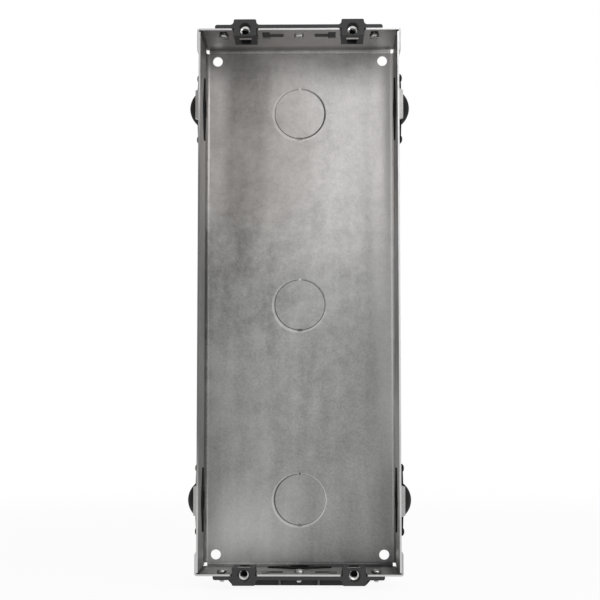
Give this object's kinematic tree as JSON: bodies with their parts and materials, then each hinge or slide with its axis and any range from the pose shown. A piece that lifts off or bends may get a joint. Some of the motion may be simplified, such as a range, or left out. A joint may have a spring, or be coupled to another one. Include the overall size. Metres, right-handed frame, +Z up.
{
  "type": "flush back box",
  "caption": "Long sheet-steel flush back box, open at the front, with rear knock-outs, moulded screw brackets on its end walls and domed cable bushes.",
  "frame": {"origin": "centre of the rear face that lies against the back of the wall recess", "axes": "+Z up along the long side, +Y out of the rear face into the wall, the open front faces -Y"},
  "size_m": [0.1318, 0.045, 0.3317],
  "materials": {
    "galvanised_sheet": "galvanised steel sheet, satin, faintly mottled",
    "black_moulding": "matt black moulded plastic",
    "bright_fasteners": "bright zinc plate",
    "black_rubber": "matt black rubber"
  },
  "bodies": {
    "root": {"back_box_shell": "galvanised_sheet", "top_bracket": "black_moulding", "bottom_bracket": "black_moulding", "bracket_nuts": "bright_fasteners", "bracket_screws": "bright_fasteners", "cable_bushes": "black_rubber"}
  },
  "joints": []
}
